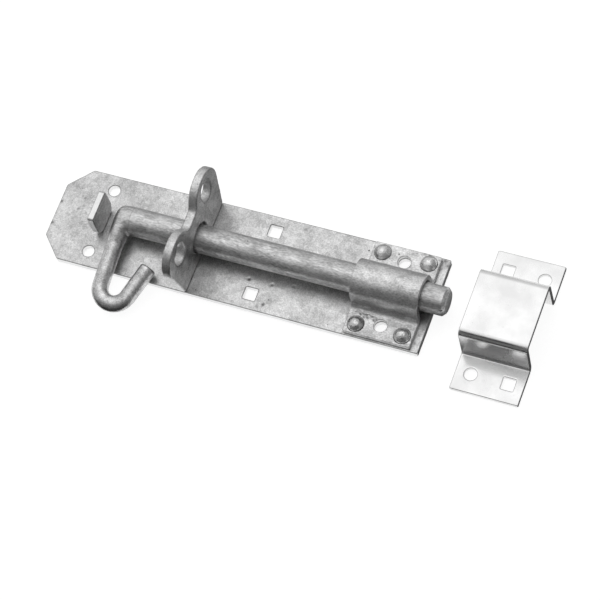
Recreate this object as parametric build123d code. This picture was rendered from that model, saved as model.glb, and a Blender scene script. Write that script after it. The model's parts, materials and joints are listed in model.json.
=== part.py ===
from build123d import *
import math
import os

# Padbolt in hot-dip galvanised steel. A round bolt slides and turns through an upright
# plate and under a bowed strap, both fixed on a flat backplate, and shoots into a
# separate keeper pressed from sheet.
# Millimetres. +Z points off the door, +X towards the nose of the bolt.
# The origin is the middle of the backplate's back face.

# Backplate
plate_length = 225.0
plate_width = 57.5
plate_thickness = 4.0
plate_edge_round = 0.4
corner_clip_x = 12.0
corner_clip_y = 12.5
hole_edge_distance = 9.25
screw_hole_d = 6.5
screw_hole_from_rear = 28.0
square_hole = 7.0
square_hole_round = 0.6
square_hole_from_nose_end = 99.5

# Bolt bar
bar_d = 16.0
bar_lift = 2.3
nose_reach = 9.0
nose_chamfer = 1.8

# Stop lug behind the bolt
lug_from_rear = 31.7
lug_thickness = 4.0
lug_height = 19.0
lug_top_width = 18.4
lug_bulge = 0.9
lug_foot_width = 17.6
lug_foot_round = 4.0
lug_tenon_width = 8.0
back_travel = 7.5

# Hooked handle: an elbow at the rear end of the bar that narrows into a thinner rod
rod_d = 9.5
rod_inset = 0.4
elbow_squareness = 5.0
elbow_inner_round = 1.0
elbow_width = 10.5
elbow_height = 12.0
elbow_section_step = 15
leg_length = 38.7
hook_radius = 8.8
hook_turn = 161.0
tail_length = 19.7
tail_end_round = 1.5
root_length = 16.0
turn_clearance = 0.05
rest_gap = 0.3

# Upright plate with two padlock ears
throw = 36.4
ear_plate_thickness = 5.5
ear_spread = 19.8
ear_radius = 14.0
ear_centre_height = 27.8
valley_height = 30.5
valley_round = 4.4
ear_edge_round = 0.6
padlock_slot_width = 11.0
padlock_slot_height = 14.5
padlock_slot_rise = 2.0
bolt_hole_play = 1.0
bolt_seat_gap = 0.3
ear_tenon_width = 12.0
ear_tenon_spread = 17.0
tenon_fit = 0.1

# Bowed strap over the nose end of the bolt
strap_width = 38.5
strap_thickness = 3.0
strap_play = 0.75
strap_foot_bend = 3.6
strap_inset_end = 4.5
strap_inset_side = 1.0
strap_hole_d = 7.0

# Rivets through the strap and the backplate
rivet_pitch = 26.4
rivet_edge_distance = 6.75
rivet_head_d = 9.8
rivet_head_height = 3.6
rivet_shank_d = 5.0
rivet_fit = 0.1
rivet_tail_d = 8.0
rivet_tail_depth = 1.5

# Keeper for the frame, standing in line with the bolt
keeper_gap = 12.8
keeper_width = 38.0
keeper_length = 83.5
keeper_sheet = 2.5
keeper_headroom = 0.4
keeper_side_play = 9.5
keeper_splay = 0.8
keeper_roof_bend = 1.4
keeper_foot_bend = 1.0
keeper_hole_d = 7.0
keeper_square_hole = 7.0
keeper_hole_spacing = 20.8
keeper_hole_edge_distance = 10.5

# Places worked out from the sizes
rear_end = -plate_length / 2
nose_end = plate_length / 2
hole_row = plate_width / 2 - hole_edge_distance
screw_hole_x = rear_end + screw_hole_from_rear
square_hole_x = nose_end - square_hole_from_nose_end
bar_r = bar_d / 2
rod_r = rod_d / 2
axis_height = bar_lift + bar_r
axis_z = plate_thickness + axis_height
lug_front = rear_end + lug_from_rear
bar_rear = lug_front + back_travel
bar_nose = nose_end + nose_reach
leg_x = bar_rear + rod_inset + rod_r
elbow_front = bar_rear + elbow_width + elbow_inner_round
ear_plate_rear = leg_x + rod_r + throw
ear_plate_x = ear_plate_rear + ear_plate_thickness / 2
strap_x = nose_end - strap_inset_end - strap_width / 2
rivet_row = plate_width / 2 - rivet_edge_distance
keeper_x = bar_nose + keeper_gap + keeper_width / 2
keeper_tunnel = bar_d + 2 * keeper_side_play
keeper_inner_height = axis_z + bar_r + keeper_headroom


def rivet_spots():
    """Middles of the four rivets, two in each flange of the strap."""
    return [(strap_x + i * rivet_pitch / 2, j * rivet_row) for i in (-1, 1) for j in (-1, 1)]


def tenon_spots():
    """Middle, thickness and width of each tongue that passes through the backplate."""
    lug = (lug_front - lug_thickness / 2, 0, lug_thickness, lug_tenon_width)
    ears = [(ear_plate_x, s * ear_tenon_spread, ear_plate_thickness, ear_tenon_width) for s in (-1, 1)]
    return [lug, *ears]


def tenon(spot):
    """Tongue through the backplate, hammered flush with its back face."""
    x, y, thickness, width = spot
    return Pos(x, y) * extrude(Rectangle(thickness, width), plate_thickness)


def rivet_tail(growth=0.0):
    """Cone of a rivet's tail, set flush in the backplate's back face."""
    top = rivet_shank_d / 2 + growth
    base = rivet_tail_d / 2 + growth
    return Pos(0, 0, rivet_tail_depth / 2) * Cone(base, top, rivet_tail_depth)


def backplate():
    """Flat bar with two clipped corners, round and square holes, and seats for the tails."""
    half = plate_width / 2
    outline = Polyline(
        (rear_end, -half + corner_clip_y),
        (rear_end + corner_clip_x, -half),
        (nose_end, -half),
        (nose_end, half),
        (rear_end + corner_clip_x, half),
        (rear_end, half - corner_clip_y),
        close=True,
    )
    plate = extrude(make_face(outline), plate_thickness)
    plate = fillet(plate.faces().sort_by(Axis.Z)[-1].edges(), plate_edge_round)
    cuts = Sketch()
    for side in (-1, 1):
        y = side * hole_row
        cuts += Pos(screw_hole_x, y) * Circle(screw_hole_d / 2)
        cuts += Pos(strap_x, y) * Circle(strap_hole_d / 2)
        cuts += Pos(square_hole_x, y) * RectangleRounded(square_hole, square_hole, square_hole_round)
    for x, y in rivet_spots():
        cuts += Pos(x, y) * Circle(rivet_shank_d / 2 + rivet_fit)
    for x, y, thickness, width in tenon_spots():
        cuts += Pos(x, y) * Rectangle(thickness + 2 * tenon_fit, width + 2 * tenon_fit)
    plate -= extrude(cuts, plate_thickness)
    for x, y in rivet_spots():
        plate -= Pos(x, y) * rivet_tail(rivet_fit)
    return plate


def bolt_bar():
    """Round bar along X with a chamfered nose, its rear end square against the elbow."""
    rear = elbow_front + turn_clearance
    along = (Align.CENTER, Align.CENTER, Align.MIN)
    bar = Pos(rear, 0, axis_z) * Rot(0, 90, 0) * Cylinder(bar_r, bar_nose - rear, align=along)
    return chamfer(bar.edges().filter_by(GeomType.CIRCLE).sort_by(Axis.X)[-1], nose_chamfer)


def rest_angle():
    """How far below level the handle hangs when it lies on the backplate's edge."""
    reach = math.hypot(axis_height, plate_width / 2)
    contact = math.acos((rod_r + rest_gap) / reach)
    return math.degrees(contact - math.atan2(plate_width / 2, axis_height))


def elbow_section(turn):
    """Oval across the elbow, in a plane turned by some degrees about its inner corner.

    Seen from above, the outer corner is a superellipse, so the ovals are longest across the corner.
    """
    share = turn / 90
    towards_rear = math.sin(math.radians(turn))
    towards_far = math.cos(math.radians(turn))
    depth = (towards_rear / elbow_width) ** elbow_squareness + (towards_far / bar_d) ** elbow_squareness
    width = depth ** (-1 / elbow_squareness)
    height = bar_d + (elbow_height - bar_d) * share
    across = Plane(
        origin=(elbow_front, -bar_r - elbow_inner_round, 0),
        x_dir=(-towards_rear, towards_far, 0),
        z_dir=(-towards_far, -towards_rear, 0),
    )
    return across * Pos(elbow_inner_round + width / 2, 0) * Ellipse(width / 2, height / 2)


def handle_root():
    """Elbow that turns the bar's round end towards the rod, and the taper down to the rod."""
    ovals = [elbow_section(turn) for turn in range(0, 91, elbow_section_step)]
    rod_start = Plane(origin=(leg_x, -root_length, 0), x_dir=(-1, 0, 0), z_dir=(0, -1, 0))
    return loft(ovals) + loft([ovals[-1], rod_start * Circle(rod_r)])


def hooked_handle():
    """Elbow at the rear end of the bar and a rod that hooks back, hanging over the plate's edge."""
    leg = Line((leg_x, -root_length), (leg_x, -leg_length))
    bend = JernArc(leg @ 1, leg % 1, hook_radius, hook_turn)
    tail = Line(bend @ 1, (bend @ 1) + (bend % 1) * tail_length)
    rod = sweep(Plane(leg @ 0, z_dir=leg % 0) * Circle(rod_r), Curve() + [leg, bend, tail])
    tip = rod.edges().filter_by(GeomType.CIRCLE).sort_by_distance(tail @ 1)[0]
    rod = fillet(tip, tail_end_round)
    return Pos(0, 0, axis_z) * Rot(rest_angle(), 0, 0) * (rod + handle_root())


def ear_outline():
    """Upright plate seen along the bolt: a foot as wide as the backplate under two round ears."""
    ears = Sketch()
    for side in (-1, 1):
        ears += Pos(side * ear_spread, plate_thickness + ear_centre_height) * Circle(ear_radius)
    foot = Line((-plate_width / 2, plate_thickness), (plate_width / 2, plate_thickness))
    overall_width = plate_width + 2 * (ear_spread + ear_radius)
    below_valley = Rectangle(overall_width, valley_height, align=(Align.CENTER, Align.MIN))
    body = (make_hull([*ears.edges(), foot]) & Pos(0, plate_thickness) * below_valley) + ears
    corners = body.vertices().sort_by_distance((0, plate_thickness + valley_height))[:2]
    half_floor = ear_spread - math.sqrt(ear_radius**2 - (valley_height - ear_centre_height) ** 2)
    return fillet(corners, min(valley_round, 0.8 * half_floor))


def ear_plate():
    """Upright plate with a hole for the bolt and a padlock slot in each ear."""
    outline = ear_outline()
    slots = Sketch()
    for side in (-1, 1):
        middle = Pos(side * ear_spread, plate_thickness + ear_centre_height + padlock_slot_rise)
        slots += middle * Rot(0, 0, 90) * SlotOverall(padlock_slot_height, padlock_slot_width)
    bolt_hole_z = axis_z + bolt_hole_play - bolt_seat_gap
    slots += Pos(0, bolt_hole_z) * Circle(bar_r + bolt_hole_play)
    blank = extrude(Pos(ear_plate_rear) * (Plane.YZ * outline), ear_plate_thickness)
    all_but_foot = blank.edges().filter_by(Plane.YZ).sort_by(Axis.Z)[2:]
    blank = fillet(all_but_foot, ear_edge_round)
    blank -= extrude(Pos(ear_plate_rear) * (Plane.YZ * slots), ear_plate_thickness)
    for spot in tenon_spots()[1:]:
        blank += tenon(spot)
    return blank


def stop_lug():
    """Upright tab that stops the rear end of the bolt, with its tongue in the backplate."""
    top = lug_height
    middle = (lug_top_width + lug_foot_width) / 4 + lug_bulge
    right = ThreePointArc((lug_foot_width / 2, 0), (middle, top / 2), (lug_top_width / 2, top))
    left = ThreePointArc((-lug_top_width / 2, top), (-middle, top / 2), (-lug_foot_width / 2, 0))
    outline = make_face([right, Line(right @ 1, left @ 0), left, Line(left @ 1, right @ 0)])
    outline = fillet(outline.vertices().group_by(Axis.Y)[0], lug_foot_round)
    place = Pos(lug_front - lug_thickness, 0, plate_thickness)
    return extrude(place * (Plane.YZ * outline), lug_thickness) + tenon(tenon_spots()[0])


def bent_strip(underside, thickness, width, middle_x):
    """Strip of sheet whose underside follows a line in the YZ plane."""
    section = make_face(offset(underside, thickness, side=Side.LEFT))
    return extrude(Pos(middle_x - width / 2) * (Plane.YZ * section), width)


def strap_underside():
    """Line under the strap: foot, bend, bow round the bolt's axis, bend and foot."""
    bore = bar_r + strap_play
    bend = strap_foot_bend + strap_thickness
    reach = plate_width / 2 - strap_inset_side
    foot_a = Line((-reach, plate_thickness), (-bore - bend, plate_thickness))
    bend_a = JernArc(foot_a @ 1, foot_a % 1, bend, 90)
    wall_a = Line(bend_a @ 1, (-bore, axis_z))
    bow = JernArc(wall_a @ 1, wall_a % 1, bore, -180)
    wall_b = Line(bow @ 1, (bore, plate_thickness + bend))
    bend_b = JernArc(wall_b @ 1, wall_b % 1, bend, 90)
    foot_b = Line(bend_b @ 1, (reach, plate_thickness))
    return Curve() + [foot_a, bend_a, wall_a, bow, wall_b, bend_b, foot_b]


def guide_strap():
    """Strap bowed over the bolt, with a screw hole and two rivet holes in each flange."""
    strap = bent_strip(strap_underside(), strap_thickness, strap_width, strap_x)
    cuts = Sketch()
    for side in (-1, 1):
        cuts += Pos(strap_x, side * hole_row) * Circle(strap_hole_d / 2)
    for x, y in rivet_spots():
        cuts += Pos(x, y) * Circle(rivet_shank_d / 2 + rivet_fit)
    return strap - Pos(0, 0, plate_thickness) * extrude(cuts, strap_thickness)


def rivet():
    """Domed rivet on its own axis: head on the strap, shank through, tail flush behind."""
    seat = plate_thickness + strap_thickness
    head_r = rivet_head_d / 2
    dome = SagittaArc((head_r, seat), (-head_r, seat), -rivet_head_height)
    head = make_face([dome, Line(dome @ 1, dome @ 0)])
    crown = dome @ 0.5
    half_head = head & Rectangle(head_r, crown.Y, align=(Align.MIN, Align.MIN))
    half_foot = make_face(
        Polyline(
            (0, seat),
            (0, 0),
            (rivet_tail_d / 2, 0),
            (rivet_shank_d / 2, rivet_tail_depth),
            (rivet_shank_d / 2, seat),
            close=True,
        )
    )
    return revolve(Plane.XZ * (half_head + half_foot), Axis.Z)


def keeper():
    """Top-hat bracket that takes the nose, each foot with one round and one square hole."""
    tunnel = keeper_tunnel / 2
    reach = keeper_length / 2
    foot_bend = keeper_foot_bend + keeper_sheet
    underside = FilletPolyline(
        (-reach, 0),
        (-tunnel - keeper_splay, 0),
        (-tunnel, keeper_inner_height),
        (tunnel, keeper_inner_height),
        (tunnel + keeper_splay, 0),
        (reach, 0),
        radius=[foot_bend, keeper_roof_bend, keeper_roof_bend, foot_bend],
    )
    bracket = bent_strip(underside, keeper_sheet, keeper_width, keeper_x)
    square = RectangleRounded(keeper_square_hole, keeper_square_hole, square_hole_round)
    cuts = Sketch()
    for side in (-1, 1):
        y = side * (reach - keeper_hole_edge_distance)
        offset_x = side * keeper_hole_spacing / 2
        cuts += Pos(keeper_x + offset_x, y) * Circle(keeper_hole_d / 2)
        cuts += Pos(keeper_x - offset_x, y) * square
    return bracket - extrude(cuts, keeper_sheet)


nodes = {
    "backplate": backplate(),
    "bolt_bar": bolt_bar(),
    "hooked_handle": hooked_handle(),
    "ear_plate": ear_plate(),
    "stop_lug": stop_lug(),
    "guide_strap": guide_strap(),
    "keeper": keeper(),
}
for number, (x, y) in enumerate(rivet_spots(), start=1):
    nodes[f"guide_rivet_{number}"] = Pos(x, y) * rivet()

os.makedirs("parts", exist_ok=True)
for name, solid in nodes.items():
    export_step(solid, f"parts/{name}.step")
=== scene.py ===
# %% [markdown]
# A padbolt is screwed to a gate: a round bolt slides and turns on a flat backplate, and its nose
# shoots into a separate keeper. Nearly all of it was dipped in molten zinc, which leaves a matt,
# cloudy skin with small pits and lumps. The keeper is thinner sheet with a bright plated finish.
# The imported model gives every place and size, so it is loaded first and measured from here on.

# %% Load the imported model
import itertools
import json
import math

import bpy
import numpy as np
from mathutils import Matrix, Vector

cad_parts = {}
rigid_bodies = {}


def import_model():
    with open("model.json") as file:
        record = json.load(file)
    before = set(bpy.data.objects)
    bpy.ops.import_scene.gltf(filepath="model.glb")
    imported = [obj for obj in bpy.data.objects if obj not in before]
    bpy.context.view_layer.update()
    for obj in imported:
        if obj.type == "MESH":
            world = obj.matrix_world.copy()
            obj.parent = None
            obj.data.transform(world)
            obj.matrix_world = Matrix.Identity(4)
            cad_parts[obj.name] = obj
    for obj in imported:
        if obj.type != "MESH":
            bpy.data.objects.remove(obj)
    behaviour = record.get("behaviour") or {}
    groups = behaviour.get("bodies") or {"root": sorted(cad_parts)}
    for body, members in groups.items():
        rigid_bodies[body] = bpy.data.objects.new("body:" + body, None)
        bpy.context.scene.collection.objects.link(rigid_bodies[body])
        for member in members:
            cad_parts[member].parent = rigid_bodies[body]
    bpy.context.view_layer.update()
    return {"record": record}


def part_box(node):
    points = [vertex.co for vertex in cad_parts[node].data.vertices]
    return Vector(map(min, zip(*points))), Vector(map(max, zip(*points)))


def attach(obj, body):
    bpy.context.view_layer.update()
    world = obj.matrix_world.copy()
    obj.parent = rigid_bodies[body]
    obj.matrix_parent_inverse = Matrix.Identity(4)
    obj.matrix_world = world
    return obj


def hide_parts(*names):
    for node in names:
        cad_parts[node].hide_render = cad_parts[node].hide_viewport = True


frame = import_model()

mm = 0.001


# %% [markdown]
# The bodies of the real padbolt are plain forms: flat bar, round bar, rod and bent strip. Each new
# piece below is worked out from the box of the node that it stands for, so it lies where that node
# lies and stays as large as it.

# %% Measure the nodes
def ends(node):
    """Lowest and highest corner of a node as arrays, in metres."""
    low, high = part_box(node)
    return np.array(low), np.array(high)


plate_low, plate_high = ends("backplate")
bar_low, bar_high = ends("bolt_bar")
ear_low, ear_high = ends("ear_plate")
lug_low, lug_high = ends("stop_lug")
strap_low, strap_high = ends("guide_strap")
keeper_low, keeper_high = ends("keeper")
handle_low, handle_high = ends("hooked_handle")
plate_top = plate_high[2]
bar_r = (bar_high[1] - bar_low[1]) / 2
axis_z = (bar_high[2] + bar_low[2]) / 2
print("bolt radius and axis height in mm:", round(bar_r / mm, 2), round(axis_z / mm, 2))


# %% [markdown]
# Zinc drains off a piece unevenly, so no face is quite flat and no edge quite straight. Two helpers
# give that: smooth random clouds that depend only on the place, and a push of every point along its
# normal. The push only ever goes inwards, which keeps a piece inside the box of its node.

# %% Random clouds and uneven skins
lattice = 32


def clouds(points, cell, seed):
    """Random numbers from -1 to 1 on a cubic lattice, blended between its corners by 3u^2 - 2u^3."""
    table = np.random.default_rng(seed).uniform(-1, 1, (lattice,) * 3)
    place = points / cell
    corner = np.floor(place).astype(int)
    share = place - corner
    share = share * share * (3 - 2 * share)
    total = np.zeros(len(points))
    for step in itertools.product((0, 1), repeat=3):
        index = (corner + step) % lattice
        weight = np.abs(1 - np.array(step) - share).prod(1)
        total += weight * table[index[:, 0], index[:, 1], index[:, 2]]
    return total


def point_normals(points, quads):
    """Sum of the cross products of the diagonals of the faces round each point, made one long."""
    across = np.cross(points[quads[:, 2]] - points[quads[:, 0]], points[quads[:, 3]] - points[quads[:, 1]])
    normals = np.zeros_like(points)
    for corner in range(4):
        np.add.at(normals, quads[:, corner], across)
    return normals / np.maximum(np.linalg.norm(normals, axis=1, keepdims=True), 1e-12)


def uneven(points, quads, depth, cell, seed):
    """Points pushed inwards by up to depth, half of it in clouds of one cell and half in finer ones."""
    coarse = clouds(points, cell, seed)
    fine = clouds(points, cell / 3, seed + 1)
    push = depth * (0.5 + 0.25 * coarse + 0.25 * fine)
    return points - push[:, None] * point_normals(points, quads)


def make_piece(name, points, quads, body, slot, node, low, high, **values):
    """A smooth mesh from arrays, kept inside the box of its node, riding on a body.

    Each further argument is a value per point, which the mesh keeps for its material under that name.
    """
    mesh = bpy.data.meshes.new(name)
    mesh.from_pydata(np.clip(points, low, high).tolist(), [], quads.tolist())
    for label, value in values.items():
        mesh.attributes.new(label, "FLOAT", "POINT").data.foreach_set("value", value.astype(np.float32))
    mesh.shade_smooth()
    piece = bpy.data.objects.new(name, mesh)
    bpy.context.scene.collection.objects.link(piece)
    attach(piece, body)
    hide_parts(node)
    print(name, len(mesh.polygons), "faces")
    return piece


# %% [markdown]
# Backplate, upright plate, stop lug, strap and keeper all start as flat metal with a cut outline and
# punched holes. Cutting holes with booleans leaves long thin faces that shade badly and can't be
# dented. Here the outline is a function instead: how deep a point lies inside the metal. Squares of
# a fine grid are kept where that depth is large enough, the border's corners slide onto the true
# line, and a rounded rim is carried along the border to the other face.

# %% Flat blanks with rounded rims
rim_rows = 3
rim_support = 0.2 * mm


def gradient(depth, points):
    """Direction in which depth grows fastest, from differences over a hundredth of a millimetre."""
    nudge = 0.01 * mm
    slope = np.stack([depth(points + shift) - depth(points - shift) for shift in nudge * np.eye(2)], 1)
    return slope / np.maximum(np.linalg.norm(slope, axis=1, keepdims=True), 1e-12)


def open_sides(quads):
    """Sides that belong to one face only, in that face's order."""
    sides = quads[:, [0, 1, 1, 2, 2, 3, 3, 0]].reshape(-1, 2)
    keys = sides.min(1) * (quads.max() + 1) + sides.max(1)
    _, where, counts = np.unique(keys, return_inverse=True, return_counts=True)
    return sides[counts[where] == 1]


def flat_grid(depth, low, high, step, inset):
    """Grid squares whose middle is deeper than inset, their border moved to where depth equals inset."""
    counts = np.ceil((np.array(high) - low) / step).astype(int)
    axes = [np.linspace(low[i], high[i], counts[i] + 1) for i in (0, 1)]
    points = np.stack(np.meshgrid(*axes, indexing="ij"), -1).reshape(-1, 2)
    index = np.arange(len(points)).reshape(counts + 1)
    quads = np.stack([index[:-1, :-1], index[1:, :-1], index[1:, 1:], index[:-1, 1:]], -1).reshape(-1, 4)
    quads = quads[depth(points[quads].mean(1)) > inset]
    used, quads = np.unique(quads, return_inverse=True)
    points, quads = points[used], quads.reshape(-1, 4)
    border = np.unique(open_sides(quads))
    for _ in range(5):
        there = points[border]
        points[border] = there + (inset - depth(there))[:, None] * gradient(depth, there)
    return points, quads


def slab(depth, low, high, step, thickness, rim):
    """Closed slab in (u, v, w): two flat faces joined along the border by quarter rounds and a flat wall.

    The wall has an extra row just inside each round, so that it shades flat right up to the rounds. The
    third array is 0 on the flat faces, grows over the rounds and is 1 on the wall.
    """
    flat, quads = flat_grid(depth, low, high, step, rim)
    sides = open_sides(quads)
    border, sides = np.unique(sides, return_inverse=True)
    sides = sides.reshape(-1, 2)
    outwards = -gradient(depth, flat[border])
    turn = np.linspace(0, np.pi / 2, rim_rows + 1)
    shift = rim * np.sin(turn)
    drop = rim * (1 - np.cos(turn))
    support = rim + rim_support
    shifts = np.concatenate([shift[1:], [rim, rim], shift[:0:-1]])
    heights = np.concatenate([thickness - drop[1:], [thickness - support, support], drop[:0:-1]])
    rims = []
    for shift, height in zip(shifts, heights):
        rims.append(np.column_stack([flat[border] + shift * outwards, np.full(len(border), height)]))
    top = np.column_stack([flat, np.full(len(flat), thickness)])
    bottom = np.column_stack([flat, np.zeros(len(flat))])
    points = np.concatenate([top, *rims, bottom])
    first = len(flat) + len(border) * np.arange(len(rims))
    rows = [border, *[f + np.arange(len(border)) for f in first], border + len(points) - len(flat)]
    faces = [quads, quads[:, ::-1] + len(points) - len(flat)]
    for upper, lower in zip(rows[:-1], rows[1:]):
        start, stop = sides.T
        faces.append(np.stack([upper[stop], upper[start], lower[start], lower[stop]], 1))
    edge = np.concatenate([np.zeros(len(flat)), np.repeat(shifts / rim, len(border)), np.zeros(len(flat))])
    return points, np.concatenate(faces), edge


def rectangle(points, middle, half_u, half_v, corner_round=0.0):
    """Depth inside a rectangle: negative outside, with rounded corners."""
    reach = np.abs(points - middle) - (half_u - corner_round, half_v - corner_round)
    outside = np.linalg.norm(np.maximum(reach, 0), axis=1)
    return corner_round - outside - np.minimum(reach.max(1), 0)


def disc(points, middle, radius):
    """Depth inside a circle: radius minus the distance from its middle."""
    return radius - np.linalg.norm(points - middle, axis=1)


# %% [markdown]
# The backplate is a 4 mm flat bar with two corners cut off at its rear end. It has round screw holes
# at both ends, the front pair under the strap, and square holes for carriage bolts in its middle.
# Some pits and dark smears in its zinc have a place of their own, on top of the even roughness: a pit
# is a bell-shaped dent, and the same bells darken the material there. Spots along the front of the strap
# are painted shade, darkened without a dent.

# %% Backplate
corner_clip = (12.0 * mm, 12.5 * mm)
hole_row = 19.5 * mm
screw_hole_x = frame["record"]["mounts"][1]["pos_m"][0]
strap_hole_x = frame["record"]["mounts"][2]["pos_m"][0]
square_hole_x = frame["record"]["mounts"][3]["pos_m"][0]
screw_hole_r = 3.25 * mm
strap_hole_r = 3.5 * mm
square_half = 3.5 * mm
square_round = 0.6 * mm
plate_rim = 0.6 * mm
plate_step = 0.62 * mm
clip_slope = np.array([corner_clip[1], corner_clip[0]]) / math.hypot(*corner_clip)


def plate_depth(points):
    """Rectangle less two corners and six holes: the least of all those depths."""
    half = plate_high[1]
    mirrored = np.abs(points[:, 1])
    to_clip = (points[:, 0] - plate_low[0]) * clip_slope[0]
    to_clip = to_clip + (half - corner_clip[1] - mirrored) * clip_slope[1]
    depth = np.minimum(rectangle(points, (0, 0), plate_high[0], half), to_clip)
    upper = np.column_stack([points[:, 0], mirrored])
    depth = np.minimum(depth, -disc(upper, (screw_hole_x, hole_row), screw_hole_r))
    depth = np.minimum(depth, -disc(upper, (strap_hole_x, hole_row), strap_hole_r))
    square = rectangle(upper, (square_hole_x, hole_row), square_half, square_half, square_round)
    return np.minimum(depth, -square)


def bells(points, spots):
    """Sum of height * exp(-(distance / radius)^2) about spots (x, y, radius, height) in millimetres."""
    x, y, radius, height = np.array(spots).T
    away = np.hypot(points[:, :1] / mm - x, points[:, 1:2] / mm - y)
    return (height * np.exp(-((away / radius) ** 2))).sum(1)


pit_spots = [(-111.5, 5.6, 0.8, 1.0), (-111.6, -8.3, 0.7, 0.8), (-100.5, 3.6, 0.6, 0.8)]
pit_spots += [(-103.1, 16, 0.6, 0.5), (-99.2, 10.8, 0.7, 0.6), (-100.7, 11.8, 0.6, 0.6)]
pit_spots += [(28.9, 25, 1.0, 0.5), (9.2, -11.4, 0.7, 1.0), (22.8, -11.3, 0.6, 0.7)]
pit_spots += [(34.7, -8.9, 0.7, 0.6), (22.0, -23.7, 0.8, 0.9), (19.0, -25.8, 0.9, 0.4)]
# Painted shade: dark spots on the plate along the front edge of the strap, with no dent.
painted_shade_by_strap = [(109, 27, 1.0, 0.7), (111.5, 24.8, 0.8, 0.6), (108.6, 22, 0.7, 0.5)]
painted_shade_by_strap += [(109.5, -18, 1.2, 0.5), (108.8, -23, 0.9, 0.5)]
smears = [(26, -20, 3.5, 0.22), (-78, 21, 5.0, 0.2), (-60, 14, 6.0, 0.16)]
smears += [(12, 24, 4.0, 0.15), (-20, 24, 6, 0.2)]
pit_depth = 0.4 * mm
points, quads, edge = slab(plate_depth, plate_low[:2], plate_high[:2], plate_step, plate_top, plate_rim)
points = uneven(points, quads, 0.18 * mm, 9 * mm, seed=3)
upper_side = points[:, 2] > plate_top / 2
points[:, 2] -= pit_depth * upper_side * bells(points, pit_spots)
# This mask holds real pits and smears, and painted shade beside the strap.
stain = upper_side * (bells(points, pit_spots + painted_shade_by_strap) + bells(points, smears))
place = ("base", "galvanised_plate", "backplate", plate_low, plate_high)
make_piece("zinc_backplate", points, quads, *place, edge=edge, stain=stain)


# %% [markdown]
# The upright plate carries the bolt and takes the padlock. Its outline is two round ears, a valley
# between them and flanks that run straight down to the foot. Each part of that line is a depth of its
# own: an ear is a circle, a flank a straight line that ends where it touches the ear, and the valley
# a level floor with a round that touches both floor and ear. The ears are a touch smaller than the
# packed ones, so that their uneven rims stay inside the box of the node.

# %% Upright plate
ear_inset = 0.15 * mm
ear_r = 14.0 * mm - ear_inset
ear_y = ear_high[1] - ear_inset - ear_r
ear_z = plate_top + 27.8 * mm
valley_z = plate_top + 30.5 * mm
valley_r = 4.4 * mm
slot_r = 5.5 * mm
slot_half_straight = 1.75 * mm
slot_z = ear_z + 2.0 * mm
bolt_hole = (0.0, axis_z + 0.7 * mm, bar_r + 1.0 * mm)
ear_rim = 1.0 * mm
ear_step = 0.5 * mm
foot_y = plate_high[1]
foot_to_ear = math.hypot(ear_y - foot_y, ear_z - plate_top)
flank_angle = math.atan2(ear_z - plate_top, ear_y - foot_y) - math.asin(ear_r / foot_to_ear)
valley_middle_z = valley_z + valley_r
valley_middle_y = ear_y - math.sqrt((ear_r + valley_r) ** 2 - (valley_middle_z - ear_z) ** 2)
cusp_z = valley_middle_z - (valley_middle_z - ear_z) * valley_r / (ear_r + valley_r)


def ear_depth(points):
    """The greater of the ears' depth and the body's, less the slots and the bolt's hole."""
    y, z = np.abs(points[:, 0]), points[:, 1]
    upper = np.column_stack([y, z])
    flank = (z - plate_top) * math.cos(flank_angle) - (y - foot_y) * math.sin(flank_angle)
    past_touch = (y - ear_y) * math.cos(flank_angle) + (z - ear_z) * math.sin(flank_angle)
    flank = np.where(y > ear_y, np.minimum(flank, -past_touch), flank)
    rounded = -disc(upper, (valley_middle_y, valley_middle_z), valley_r)
    valley = np.where(y < valley_middle_y, valley_z - z, rounded)
    body = np.minimum.reduce([z - plate_top, flank, valley, cusp_z - z])
    whole = np.maximum(body, disc(upper, (ear_y, ear_z), ear_r))
    level = np.clip(z, slot_z - slot_half_straight, slot_z + slot_half_straight)
    slot = slot_r - np.hypot(y - ear_y, z - level)
    return np.minimum.reduce([whole, -slot, -disc(upper, bolt_hole[:2], bolt_hole[2])])


corner_low = np.array([-ear_high[1], plate_top])
corner_high = np.array([ear_high[1], ear_high[2]])
points, quads, edge = slab(ear_depth, corner_low, corner_high, ear_step, ear_high[0] - ear_low[0], ear_rim)
points = np.column_stack([ear_low[0] + points[:, 2], points[:, 0], points[:, 1]])
points = uneven(points, quads, 0.3 * mm, 5 * mm, seed=11)
place = ("base", "galvanised_plate", "ear_plate", ear_low, ear_high)
make_piece("zinc_ear_plate", points, quads, *place, edge=edge)


# %% [markdown]
# The stop lug is a short tab cut from the same bar. Its sides bulge a little and turn in at the foot.

# %% Stop lug
lug_bulge = 0.8 * mm
lug_foot_round = 4.0 * mm
lug_foot_half = 8.8 * mm
lug_top_half = 9.2 * mm
lug_rim = 0.7 * mm


def lug_depth(points):
    """Half width grows evenly with height, plus a parabola for the bulge; the foot's corners are round."""
    y, z = np.abs(points[:, 0]), points[:, 1] - plate_top
    height = lug_high[2] - plate_top
    share = np.clip(z / height, 0, 1)
    half = lug_foot_half + (lug_top_half - lug_foot_half) * share + 4 * lug_bulge * share * (1 - share)
    depth = np.minimum.reduce([half - y, z, height - z])
    corner = lug_foot_round - np.hypot(y - (lug_foot_half - lug_foot_round), z - lug_foot_round)
    in_corner = (y > lug_foot_half - lug_foot_round) & (z < lug_foot_round)
    return np.where(in_corner, np.minimum(corner, depth), depth)


corner_low = np.array([lug_low[1], plate_top])
corner_high = np.array([lug_high[1], lug_high[2]])
points, quads, edge = slab(lug_depth, corner_low, corner_high, 0.45 * mm, lug_high[0] - lug_low[0], lug_rim)
points = np.column_stack([lug_low[0] + points[:, 2], points[:, 0], points[:, 1]])
points = uneven(points, quads, 0.25 * mm, 4 * mm, seed=17)
place = ("base", "galvanised_plate", "stop_lug", lug_low, lug_high)
make_piece("zinc_stop_lug", points, quads, *place, edge=edge)


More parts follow.
